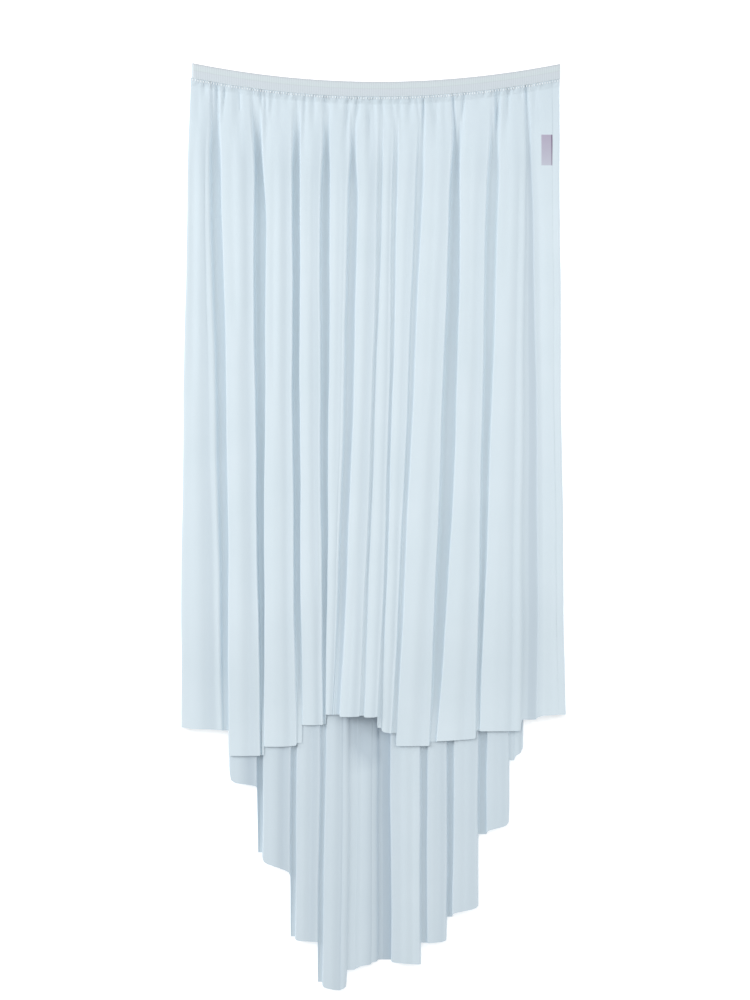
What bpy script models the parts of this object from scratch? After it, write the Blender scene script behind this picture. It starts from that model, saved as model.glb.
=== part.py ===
"""High-low ballet skirt in gathered stretch mesh, laid flat with its front up.

Frame: +X to the viewer's right, +Y towards the waist, +Z up off the surface
that the skirt lies on. The origin is under the middle of the skirt's box.
Lengths in the tables are millimetres; MM turns them to metres at the end.
"""
from math import cos, pi, radians, sin

import bmesh
import bpy
import numpy as np

MM = 0.001

# Driving sizes
SEAM_GAP = 0.3          # between pieces that touch or are sewn edge to edge
CLOTH_WALL = 1.2        # mesh cloth wall
ELASTIC_WALL = 1.4
ELASTIC_HEIGHT = 12.0   # woven width of the waist elastic
ELASTIC_LEFT = -147.5   # flat waist, left fold of the loop
ELASTIC_RIGHT = 152.0
WAIST_TOP = 361.0       # top edge of the elastic at its lowest
WAIST_LOWEST = 4.0      # where across the waist that is
WAIST_SAG = 15.0        # how far it hangs there below the ends
WAIST_HALF = 150.0
GROOVE_AT = 5.6         # line between the two woven lanes, from the top edge
GROOVE_WIDTH = 1.0
GROOVE_DEPTH = 0.4
ELASTIC_COLUMNS = 26
ELASTIC_TURN_STEPS = 5

GATHER_COLUMNS = 4      # columns to one gather, so three gathers to a fold
GATHER_HEIGHT = 1.3
GATHER_LENGTH = 45.0    # the gathers melt into the folds over this length
FOLD_GROWTH = 60.0      # the folds reach their full height at this depth
SIDE_ROLL = 4.0         # width of the roll at the skirt's side edges
SIDE_STEPS = 6
SEAM_INSET = 6.2        # right side seam, inside the right edge
BACK_FOLD_HEIGHT = 6.0  # the tallest of the back's folds
CROWN_SWELL = 1.03      # the middle of a fold's crown stands this much higher

LABEL_WIDTH = 9.0
LABEL_TOP = 317.0
LABEL_LENGTH = 25.0
LABEL_WALL = 1.0
LABEL_STEPS = 4

# Rows down a panel: first at set depths below the elastic, then as shares of
# the length that is left to the hem
ROW_DEPTHS = (0.0, 6.0, 14.0, 28.0, 50.0, 80.0)
ROW_SHARES = (0.3, 0.58, 0.8, 1.0)

# Heights on the garment where the tables give a fold's edges
FRONT_STATIONS = (301.0, 70.0, -148.5)
BACK_STATIONS = (301.0, -150.0, -350.0)
STATION_MARGIN = 30.0

FOLD_COLUMNS = ("name", "left_top", "left_mid", "left_low",
                "right_top", "right_mid", "right_low",
                "hem_left", "hem_right", "height")

# One row for each fold of the front, from left to right
FRONT_FOLDS = (
    ("side_left",   -150.0, -153.5, -156.0, -133.0, -126.5, -122.5, -163.0, -165.5, 7.0),
    ("second",      -124.0, -118.5, -117.5,  -97.5,  -96.0,  -92.5, -186.0, -186.0, 8.0),
    ("third",        -92.0,  -87.0,  -88.5,  -65.0,  -65.0,  -62.5, -178.5, -178.5, 8.0),
    ("fourth",       -59.5,  -59.5,  -58.0,  -42.5,  -42.5,  -40.5, -161.0, -161.0, 7.5),
    ("fifth",        -35.0,  -36.5,  -38.5,  -20.5,  -24.5,  -32.5, -152.5, -152.5, 6.0),
    ("sixth",        -12.5,  -17.5,  -27.0,    4.0,   -2.0,  -11.0, -154.0, -154.0, 7.0),
    ("narrow",         8.5,    0.5,   -7.5,   15.0,   12.0,    4.0, -154.5, -154.5, 6.0),
    ("eighth",        20.0,   14.5,    7.0,   34.5,   26.5,   16.0, -165.0, -168.5, 6.5),
    ("ninth",         41.0,   30.5,   20.0,   63.0,   55.0,   46.5, -178.0, -178.0, 8.0),
    ("tenth",         68.5,   66.0,   53.0,   92.0,   87.0,   82.5, -175.5, -171.5, 8.0),
    ("eleventh",     102.0,   94.5,   86.5,  123.0,  120.5,  119.5, -166.0, -166.0, 7.5),
    ("side_right",   127.5,  132.0,  132.5,  150.5,  152.0,  156.0, -158.5, -152.5, 7.0),
)

# One row for each fold of the back
BACK_FOLDS = (
    ("under_left",  -142.0, -143.5, -145.0, -124.0, -122.5, -122.5, -163.0, -163.0, 5.0),
    ("step_one",    -118.5, -117.5, -117.0,  -94.0,  -94.0,  -94.0, -205.5, -212.0, 6.0),
    ("step_two",     -88.5,  -89.5,  -91.0,  -66.5,  -66.5,  -67.5, -267.0, -284.0, 6.0),
    ("step_three",   -61.0,  -62.0,  -64.0,  -41.5,  -42.5,  -45.0, -335.0, -338.0, 6.0),
    ("tail",         -36.5,  -38.5,  -41.5,  -19.0,  -19.5,  -21.5, -370.0, -376.3, 6.0),
    ("shallow",      -14.0,  -15.0,  -17.5,    0.5,    0.5,    0.0, -360.0, -353.5, 1.4),
    ("centre",        13.5,   13.5,   14.5,   36.0,   38.0,   38.5, -352.0, -357.0, 6.0),
    ("step_six",      42.5,   43.5,   43.5,   60.5,   60.5,   59.5, -339.0, -336.5, 5.5),
    ("step_seven",    66.0,   65.5,   63.5,   86.5,   85.5,   85.0, -317.0, -308.0, 6.0),
    ("step_eight",    93.0,   92.0,   91.5,  110.0,  110.0,  110.0, -250.0, -241.0, 5.5),
    ("step_nine",    114.0,  114.0,  113.0,  122.0,  122.0,  121.5, -190.0, -181.0, 4.0),
    ("under_right",  127.0,  127.5,  127.5,  140.0,  140.5,  142.5, -151.0, -152.0, 5.0),
)

# A fold's own section: edge, step from it and share of the fold's height. The
# wall on the left is steep and the one on the right is softer
FOLD_SECTION = (
    ("trough", 0.0, 0.0),
    ("left_foot", -1.5, 0.0),
    ("left_foot", -0.2, 0.12),
    ("left", 0.1, 0.66),
    ("left", 1.0, 0.9),
    ("left", 3.2, 1.0),
    ("middle", 0.0, CROWN_SWELL),
    ("right", -4.0, 0.98),
    ("right", -1.3, 0.84),
    ("right", 0.0, 0.5),
    ("right_foot", 0.8, 0.14),
    ("right_foot", 2.2, 0.0),
)
FULL_SECTION_WIDTH = 10.0   # narrower folds draw their shoulders in
LEFT_FOOT_REACH = 0.55      # narrow troughs draw in the feet of their walls,
RIGHT_FOOT_REACH = 0.4      # by these shares of each millimetre of half trough
CROWN_COLUMN = 6            # place of the middle of the crown in the section
RIGHT_FOOT_COLUMN = 10      # from here on a column has the next trough's hem,
LEFT_FOOT_COLUMN = 2        # and up to here it has the hem of the one before

PALE_MESH = (0.72, 0.82, 0.88)
SHADED_MESH = (0.64, 0.74, 0.80)
SILVER_ELASTIC = (0.62, 0.67, 0.71)
MAUVE_RIBBON = (0.40, 0.32, 0.42)


def clear_scene():
    for old in list(bpy.data.objects):
        bpy.data.objects.remove(old, do_unlink=True)


def cloth_material(name, colour, roughness):
    material = bpy.data.materials.new(name)
    material.use_nodes = True
    shader = material.node_tree.nodes["Principled BSDF"]
    shader.inputs["Base Color"].default_value = (*colour, 1.0)
    shader.inputs["Roughness"].default_value = roughness
    shader.inputs["Metallic"].default_value = 0.0
    material.diffuse_color = (*colour, 1.0)
    return material


def ease(t):
    """Smooth rise from 0 to 1 as t goes from 0 to 1."""
    t = min(max(t, 0.0), 1.0)
    return t * t * (3.0 - 2.0 * t)


def waist_line(x):
    """Height of the elastic's top edge: a shallow hanging curve."""
    return WAIST_TOP + WAIST_SAG * ((x - WAIST_LOWEST) / WAIST_HALF) ** 2


def cloth_top(x):
    return waist_line(x) - ELASTIC_HEIGHT - SEAM_GAP


def depth_below_waist(x, y):
    return max(0.0, cloth_top(x) - y)


def through_stations(values, stations, y):
    """The parabola through three values at three heights, flat beyond them."""
    y = min(max(y, stations[2] - STATION_MARGIN), stations[0] + 2 * STATION_MARGIN)
    total = 0.0
    for i in range(3):
        term = values[i]
        for k in range(3):
            if k != i:
                term *= (y - stations[k]) / (stations[i] - stations[k])
        total += term
    return total


def read_folds(rows):
    return [dict(zip(FOLD_COLUMNS, row)) for row in rows]


class Panel:
    """One panel: its folds, and where a column of its section lies."""

    def __init__(self, rows, stations, trim, short_troughs):
        self.folds = read_folds(rows)
        self.stations = stations
        self.trim = trim        # the back's folds are measured over the wall
        self.short_troughs = short_troughs   # they end with the shorter fold,
                                             # as the first of a panel always does

    def left(self, fold, y):
        row = self.folds[fold]
        values = (row["left_top"], row["left_mid"], row["left_low"])
        return through_stations(values, self.stations, y) + self.trim

    def right(self, fold, y):
        row = self.folds[fold]
        values = (row["right_top"], row["right_mid"], row["right_low"])
        return through_stations(values, self.stations, y) - self.trim

    def border(self, fold, y, first, last):
        """Middle of the trough before a fold; the ends of the panel close it."""
        if fold <= 0:
            return first
        if fold >= len(self.folds):
            return last
        return (self.right(fold - 1, y) + self.left(fold, y)) / 2

    def fold_x(self, fold, column, y, first, last):
        """Place across the panel of one column of a fold's section."""
        edge, step, _ = FOLD_SECTION[column]
        left = self.left(fold, y)
        right = self.right(fold, y)
        squeeze = min(1.0, (right - left) / FULL_SECTION_WIDTH)
        before = self.border(fold, y, first, last)
        after = self.border(fold + 1, y, first, last)
        if edge == "trough":
            return before
        if edge == "left_foot":
            return left + step * min(1.0, LEFT_FOOT_REACH * (left - before))
        if edge == "left":
            return left + step * squeeze
        if edge == "middle":
            return (left + right) / 2
        if edge == "right":
            return right + step * squeeze
        return right + step * min(1.0, RIGHT_FOOT_REACH * (after - right))

    def gathered_x(self, fold, column, y, first, last):
        """The same column where the cloth is gathered: even in its share."""
        count = len(self.folds)
        ends = []
        for k in (fold, fold + 1):
            own = self.border(k, y, first, last)
            even = first + (last - first) * k / count
            ends.append((own + even) / 2)
        return ends[0] + (ends[1] - ends[0]) * column / len(FOLD_SECTION)

    def share(self, column):
        return FOLD_SECTION[column][2]

    def trough_hem(self, fold):
        """Height of the cut edge in the trough after a fold."""
        own = self.folds[fold]["hem_right"]
        following = self.folds[fold + 1]["hem_left"]
        return max(own, following) if self.short_troughs or fold == 0 else following

    def hem(self, fold, column):
        """Height of the cut edge at a column: level in troughs, sloped on folds."""
        if column >= RIGHT_FOOT_COLUMN and fold + 1 < len(self.folds):
            return self.trough_hem(fold)
        if column <= LEFT_FOOT_COLUMN and fold > 0:
            return self.trough_hem(fold - 1)
        row = self.folds[fold]
        part = min(1.0, column / (RIGHT_FOOT_COLUMN - 1))
        return row["hem_left"] + (row["hem_right"] - row["hem_left"]) * part


front = Panel(FRONT_FOLDS, FRONT_STATIONS, 0.0, short_troughs=True)
back = Panel(BACK_FOLDS, BACK_STATIONS, CLOTH_WALL, short_troughs=False)


def left_edge(y):
    return front.left(0, y)


def right_edge(y):
    return front.right(len(front.folds) - 1, y)


def growth(depth):
    return ease(depth / FOLD_GROWTH)


def gather_height(depth):
    return GATHER_HEIGHT * (1.0 - ease(depth / GATHER_LENGTH))


def gather_wave(index, depth):
    return gather_height(depth) * (0.5 - 0.5 * cos(2 * pi * index / GATHER_COLUMNS))


def front_floor(depth):
    """Outer face of the front's troughs: clear of the back's highest folds."""
    folds = BACK_FOLD_HEIGHT * CROWN_SWELL * growth(depth)
    return folds + gather_height(depth) + CLOTH_WALL + SEAM_GAP + CLOTH_WALL


def crown(fold, depth):
    return front_floor(depth) + front.folds[fold]["height"] * growth(depth)


def side_reach(top):
    return min(SIDE_ROLL, top / 2)


def side_roll(edge, inwards, top, step):
    """Half an ellipse round a side edge, from the table up to the crown."""
    angle = radians(-90.0 + 180.0 * step / SIDE_STEPS)
    x = edge + inwards * side_reach(top) * (1.0 - cos(angle))
    return x, top / 2 * (1.0 + sin(angle))


def seam_x(y):
    return right_edge(y) - SEAM_INSET


def front_point(kind, fold, column, index, y):
    """Outer face of the front at one column, as (x, z)."""
    last_fold = len(front.folds) - 1
    depth = depth_below_waist(column_guess(front, fold, column, y), y)
    if kind == "roll":
        return side_roll(left_edge(y), 1.0, crown(0, depth), column)
    if kind == "seam":
        return seam_x(y) - SEAM_GAP / 2, crown(last_fold, depth)
    first = left_edge(y)
    last = seam_x(y)
    own = front.fold_x(fold, column, y, first, last)
    even = front.gathered_x(fold, column, y, first, last)
    x = even + (own - even) * ease(depth / GATHER_LENGTH)
    rise = front.folds[fold]["height"] * front.share(column) * growth(depth)
    return x, front_floor(depth) + rise + gather_wave(index, depth)


def column_guess(panel, fold, column, y):
    """Rough place of a column, good enough for its depth below the waist."""
    fold = min(max(fold, 0), len(panel.folds) - 1)
    left = panel.left(fold, y)
    right = panel.right(fold, y)
    return left + (right - left) * column / len(FOLD_SECTION)


def back_start(y):
    top = crown(0, depth_below_waist(left_edge(y), y))
    return left_edge(y) + side_reach(top) + SEAM_GAP


def back_point(kind, fold, column, index, y):
    """Outer face of the back, which lies on the table, as (x, z)."""
    depth = depth_below_waist(column_guess(back, fold, column, y), y)
    top = crown(len(front.folds) - 1, depth)
    if kind == "start":
        return back_start(y), 0.0
    if kind == "roll":
        return side_roll(right_edge(y), -1.0, top, column)
    if kind == "seam":
        return seam_x(y) + SEAM_GAP / 2, top
    first = back_start(y)
    last = right_edge(y) - SIDE_ROLL
    own = back.fold_x(fold, column, y, first, last)
    even = back.gathered_x(fold, column, y, first, last)
    x = even + (own - even) * ease(depth / GATHER_LENGTH)
    rise = back.folds[fold]["height"] * back.share(column) * growth(depth)
    return x, rise + gather_wave(index, depth)


def front_columns():
    """Kind, fold and section column of every column of the front."""
    columns = [("roll", 0, step) for step in range(SIDE_STEPS + 1)]
    columns += [("fold", 0, c) for c in range(CROWN_COLUMN, len(FOLD_SECTION))]
    for fold in range(1, len(front.folds) - 1):
        columns += [("fold", fold, c) for c in range(len(FOLD_SECTION))]
    last = len(front.folds) - 1
    columns += [("fold", last, c) for c in range(CROWN_COLUMN + 1)]
    columns.append(("seam", last, CROWN_COLUMN + 2))
    return columns


def back_columns():
    columns = [("start", 0, 0)]
    columns += [("fold", 0, c) for c in range(1, len(FOLD_SECTION))]
    for fold in range(1, len(back.folds)):
        columns += [("fold", fold, c) for c in range(len(FOLD_SECTION))]
    last = len(back.folds) - 1
    columns += [("roll", last, step) for step in range(SIDE_STEPS + 1)]
    columns.append(("seam", last, len(FOLD_SECTION) - 1))
    return columns


def column_hem(panel, kind, fold, column):
    """The rolls and seams end level with the fold that they join."""
    row = panel.folds[fold]
    if kind in ("roll", "start") and fold == 0:
        return row["hem_left"]
    if kind in ("roll", "seam"):
        return front.folds[-1]["hem_right"]
    return panel.hem(fold, column)


def panel_grid(panel, columns, point, inwards):
    """Outer and inner points, rows down the panel by columns across it."""
    outer = []
    inner = []
    row_count = len(ROW_DEPTHS) + len(ROW_SHARES)
    for r in range(row_count):
        outer_row = []
        inner_row = []
        for j, (kind, fold, column) in enumerate(columns):
            top = cloth_top(point(kind, fold, column, j, WAIST_TOP)[0])
            hem = column_hem(panel, kind, fold, column)
            if r < len(ROW_DEPTHS):
                y = top - ROW_DEPTHS[r]
            else:
                start = top - ROW_DEPTHS[-1]
                y = start + (hem - start) * ROW_SHARES[r - len(ROW_DEPTHS)]
            x, z = point(kind, fold, column, j, y)
            nx, nz = section_normal(columns, point, j, y)
            outer_row.append((x, y, z))
            inner_row.append((x + inwards * nx * CLOTH_WALL, y, z + inwards * nz * CLOTH_WALL))
        outer.append(outer_row)
        inner.append(inner_row)
    return outer, inner


def section_normal(columns, point, j, y):
    """Unit normal of the section at a column; upright at the sewn edges."""
    here = point(*columns[j], j, y)
    total = np.zeros(2)
    for k in (j - 1, j + 1):
        if 0 <= k < len(columns):
            there = point(*columns[k], k, y)
            along = np.subtract(there, here) if k > j else np.subtract(here, there)
            size = np.hypot(*along)
            if size > 1e-6:
                total += np.array((-along[1], along[0])) / size
    if j in (0, len(columns) - 1):
        return np.array((0.0, np.sign(total[1])))
    return total / np.hypot(*total)


def split_quad(a, b, c, d, points):
    """Two triangles over a quad's shorter diagonal."""
    if np.linalg.norm(points[a] - points[c]) <= np.linalg.norm(points[b] - points[d]):
        return [(a, b, c), (a, c, d)]
    return [(a, b, d), (b, c, d)]


def sheet_solid(name, outer, inner, material):
    """Close a grid of outer points and its inner twin into one thin wall."""
    rows = len(outer)
    columns = len(outer[0])
    points = np.array(outer + inner).reshape(-1, 3)
    shift = rows * columns
    faces = []
    for i in range(rows - 1):
        for j in range(columns - 1):
            a = i * columns + j
            quad = (a, a + columns, a + columns + 1, a + 1)
            for corners in split_quad(*quad, points):
                faces.append(corners)
                faces.append(tuple(v + shift for v in reversed(corners)))
    ring = [j for j in range(columns)]
    ring += [i * columns + columns - 1 for i in range(1, rows)]
    ring += [(rows - 1) * columns + j for j in range(columns - 2, -1, -1)]
    ring += [i * columns for i in range(rows - 2, 0, -1)]
    for k, a in enumerate(ring):
        b = ring[(k + 1) % len(ring)]
        faces += split_quad(a, b, b + shift, a + shift, points)
    return make_object(name, points, faces, material)


def make_object(name, points, faces, material):
    mesh = bpy.data.meshes.new(name)
    mesh.from_pydata([tuple(p) for p in np.asarray(points) * MM], [], faces)
    work = bmesh.new()
    work.from_mesh(mesh)
    bmesh.ops.recalc_face_normals(work, faces=work.faces)
    work.to_mesh(mesh)
    work.free()
    mesh.shade_smooth()
    mesh.set_sharp_from_angle(angle=radians(50.0))
    item = bpy.data.objects.new(name, mesh)
    bpy.context.collection.objects.link(item)
    mesh.materials.append(material)
    return item


def elastic_path():
    """The flattened loop of the elastic seen along Y: points and normals."""
    top = front_floor(0.0) + GATHER_HEIGHT / 3
    radius = top / 2
    left = ELASTIC_LEFT + radius
    right = ELASTIC_RIGHT - radius
    path = []
    for k in range(ELASTIC_COLUMNS):
        path.append((right + (left - right) * k / ELASTIC_COLUMNS, top, 0.0, 1.0))
    for k in range(ELASTIC_TURN_STEPS):
        angle = pi / 2 + pi * k / ELASTIC_TURN_STEPS
        path.append((left + radius * cos(angle), radius + radius * sin(angle), cos(angle), sin(angle)))
    for k in range(ELASTIC_COLUMNS):
        path.append((left + (right - left) * k / ELASTIC_COLUMNS, 0.0, 0.0, -1.0))
    for k in range(ELASTIC_TURN_STEPS):
        angle = -pi / 2 + pi * k / ELASTIC_TURN_STEPS
        path.append((right + radius * cos(angle), radius + radius * sin(angle), cos(angle), sin(angle)))
    return path


def build_waistband():
    """A closed loop of elastic with a shallow groove between its two lanes."""
    half = GROOVE_WIDTH / 2
    profile = ((0.0, 0.0), (GROOVE_AT - half, 0.0), (GROOVE_AT, GROOVE_DEPTH),
               (GROOVE_AT + half, 0.0), (ELASTIC_HEIGHT, 0.0),
               (ELASTIC_HEIGHT, ELASTIC_WALL), (0.0, ELASTIC_WALL))
    path = elastic_path()
    points = []
    for x, z, nx, nz in path:
        for drop, inset in profile:
            points.append((x - nx * inset, waist_line(x) - drop, z - nz * inset))
    size = len(profile)
    faces = []
    for k in range(len(path)):
        after = (k + 1) % len(path)
        for p in range(size):
            q = (p + 1) % size
            faces.append((k * size + p, k * size + q, after * size + q, after * size + p))
    return make_object("waistband", points, faces, cloth_material("ribbed_elastic", SILVER_ELASTIC, 0.55))


def build_label():
    """A bare ribbon under the front's last crown, with an edge at the seam."""
    outer = []
    inner = []
    for r in range(LABEL_STEPS + 1):
        y = LABEL_TOP - LABEL_LENGTH * r / LABEL_STEPS
        edge = seam_x(y) - SEAM_GAP
        levels = [crown(len(front.folds) - 1, depth) for depth in ROW_DEPTHS]
        z = np.interp(depth_below_waist(edge, y), ROW_DEPTHS, levels) - CLOTH_WALL - SEAM_GAP
        outer_row = []
        inner_row = []
        for c in range(LABEL_STEPS + 1):
            x = edge - LABEL_WIDTH * (1.0 - c / LABEL_STEPS)
            outer_row.append((x, y, z))
            inner_row.append((x, y, z - LABEL_WALL))
        outer.append(outer_row)
        inner.append(inner_row)
    return sheet_solid("label", outer, inner, cloth_material("mauve_ribbon", MAUVE_RIBBON, 0.5))


def build_front():
    outer, inner = panel_grid(front, front_columns(), front_point, -1.0)
    return sheet_solid("front_panel", outer, inner, cloth_material("pale_mesh", PALE_MESH, 0.6))


def build_back():
    outer, inner = panel_grid(back, back_columns(), back_point, 1.0)
    return sheet_solid("back_panel", outer, inner, cloth_material("shaded_mesh", SHADED_MESH, 0.6))


def main():
    clear_scene()
    build_waistband()
    build_front()
    build_back()
    build_label()


main()
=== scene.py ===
import bmesh
import bpy
import numpy as np
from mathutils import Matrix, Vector


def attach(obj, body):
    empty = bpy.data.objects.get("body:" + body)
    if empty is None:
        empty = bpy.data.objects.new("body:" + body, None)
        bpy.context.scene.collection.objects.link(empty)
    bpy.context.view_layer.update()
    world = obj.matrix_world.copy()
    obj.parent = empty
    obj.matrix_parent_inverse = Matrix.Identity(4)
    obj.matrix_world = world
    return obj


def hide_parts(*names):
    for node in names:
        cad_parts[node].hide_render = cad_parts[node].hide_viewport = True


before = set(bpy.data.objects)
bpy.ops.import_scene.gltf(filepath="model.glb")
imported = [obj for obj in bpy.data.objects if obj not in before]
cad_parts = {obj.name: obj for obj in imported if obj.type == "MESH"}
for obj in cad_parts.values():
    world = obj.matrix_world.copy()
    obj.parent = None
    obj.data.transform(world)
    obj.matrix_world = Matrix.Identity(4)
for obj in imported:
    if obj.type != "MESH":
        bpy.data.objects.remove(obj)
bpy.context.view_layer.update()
toMetres = 0.001
crispAngle = 48.0               # degrees; sharper corners than this stay crisp
print("frame loaded")


# Shared maths

def ease(t):
    # smooth rise: 3t^2 - 2t^3 of t held between 0 and 1
    t = np.clip(t, 0.0, 1.0)
    return t * t * (3.0 - 2.0 * t)


def throughStations(values, stations, y):
    # the parabola through three values at three heights
    total = 0.0
    for i in range(3):
        term = values[i]
        for k in range(3):
            if k != i:
                term = term * (y - stations[k]) / (stations[i] - stations[k])
        total = total + term
    return total


def splineBetween(a, b, c, d, t):
    # Catmull-Rom: passes b at t = 0 and c at t = 1, with slopes from a to c and b to d
    return 0.5 * (2 * b + (c - a) * t + (2 * a - 5 * b + 4 * c - d) * t ** 2
                  + (3 * b - a - 3 * c + d) * t ** 3)


def linearColour(hexText):
    # sRGB hex to linear: c/12.92 when dark, else ((c + 0.055)/1.055)^2.4
    parts = [int(hexText[i:i + 2], 16) / 255 for i in (0, 2, 4)]
    linear = [c / 12.92 if c <= 0.04045 else ((c + 0.055) / 1.055) ** 2.4 for c in parts]
    return tuple(linear) + (1.0,)


def gridMesh(name, points, uv, closedAcross=False, tone=None):
    # a grid of rows by columns of points, two corners shared by each pair of quads
    rows, columns = points.shape[:2]
    flat = points.reshape(-1, 3) * toMetres
    across = columns if closedAcross else columns - 1
    r = np.repeat(np.arange(rows - 1), across)
    c = np.tile(np.arange(across), rows - 1)
    n = (c + 1) % columns
    upper, lower = r * columns, (r + 1) * columns
    quads = np.stack([upper + c, lower + c, lower + n, upper + n], 1)
    mesh = bpy.data.meshes.new(name)
    mesh.from_pydata(flat.tolist(), [], quads.tolist())
    layer = mesh.uv_layers.new(name="cloth")
    corner = np.zeros(len(mesh.loops), dtype=np.int32)
    mesh.loops.foreach_get("vertex_index", corner)
    layer.data.foreach_set("uv", (uv.reshape(-1, 2)[corner] * toMetres).ravel())
    # the tone attribute carries the net's painted shade
    if tone is not None:
        mesh.attributes.new("tone", "FLOAT", "POINT").data.foreach_set("value", tone.ravel())
    mesh.shade_smooth()
    item = bpy.data.objects.new(name, mesh)
    bpy.context.scene.collection.objects.link(item)
    return item


def thicken(item, wall, offset):
    # give the sheet its wall on the side that offset names, with crisp cut edges
    solid = item.modifiers.new("wall", "SOLIDIFY")
    solid.thickness = wall * toMetres
    solid.offset = offset
    shape = item.evaluated_get(bpy.context.evaluated_depsgraph_get())
    mesh = bpy.data.meshes.new_from_object(shape)
    item.modifiers.clear()
    item.data = mesh
    mesh.set_sharp_from_angle(angle=np.radians(crispAngle))


def mergeDoubles(item):
    # one point for each that coincide, and every face turned outwards
    work = bmesh.new()
    work.from_mesh(item.data)
    bmesh.ops.remove_doubles(work, verts=work.verts, dist=1e-6)
    bmesh.ops.recalc_face_normals(work, faces=work.faces)
    work.to_mesh(item.data)
    work.free()


# Waist line, shared by the elastic and both panels

waist = {
    "top": 361.0, "lowestAt": 4.0, "sag": 15.0, "half": 150.0, "elasticHeight": 12.0,
    "left": -147.5, "right": 152.0, "seamGap": 0.3, "clothTuck": 0.05,
}


def waistLine(x):
    # a shallow parabola: top + sag ((x - lowestAt)/half)^2
    return waist["top"] + waist["sag"] * ((x - waist["lowestAt"]) / waist["half"]) ** 2


def clothTop(x):
    # the waist line less the height of the elastic and a hair more
    return waistLine(x) - waist["elasticHeight"] - waist["clothTuck"]


# The gathered cloth of both panels

gathers = {
    "height": 1.3, "length": 45.0, "growth": 60.0, "opening": 105.0,
    "from": -145.0, "to": 148.0, "pitch": 6.4, "stray": 2.6, "leanOver": 120.0,
    "deep": (0.6, 2.6), "wide": (0.8, 1.9), "long": (14.0, 80.0), "lean": 5.0,
    "heldDepth": 4.5,           # the stitching holds the cloth flat down to here
}
layers = {
    "cadWall": 1.2, "backFold": 6.0, "swell": 1.03, "roll": 4.0, "rollSteps": 6, "seamInset": 6.2,
    "turn": 1.2, "seamGroove": 0.45, "seamGrooveTo": 290.0,
}

# The net's colours, and its painted shade colour (deep): darker in troughs, on crowns, inside the back and
# under the front's hem, and near the gathers, where it is partly the denser net
meshLook = {
    "colour": "dce9f1", "cooler": "d3e2ea", "deep": "bccbd6", "roughness": 0.72, "sheen": 0.25,
    "paintedBackShade": 0.32, "gatheredDensityAndShade": 0.26, "gatheredTo": 110.0, "shadeFrom": 10.0, "shadeOver": 60.0,
    "netPitch": 0.9,            # real net is 0.3 mm; drawn at 0.9 mm so that it shows
    "netDepth": 0.00006, "mottle": 22.0, "puckerPitch": 3.4, "puckerDepth": 4.0,
    "labelTint": "9d86a6", "labelEdge": "6f5c78", "labelSeen": 0.6, "labelEdgeWidth": 1.1,
}

# Towards its cut edge the front settles onto the back
drape = {"reach": 120.0, "share": 0.5, "clear": 0.3}

lastFold = 11
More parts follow.
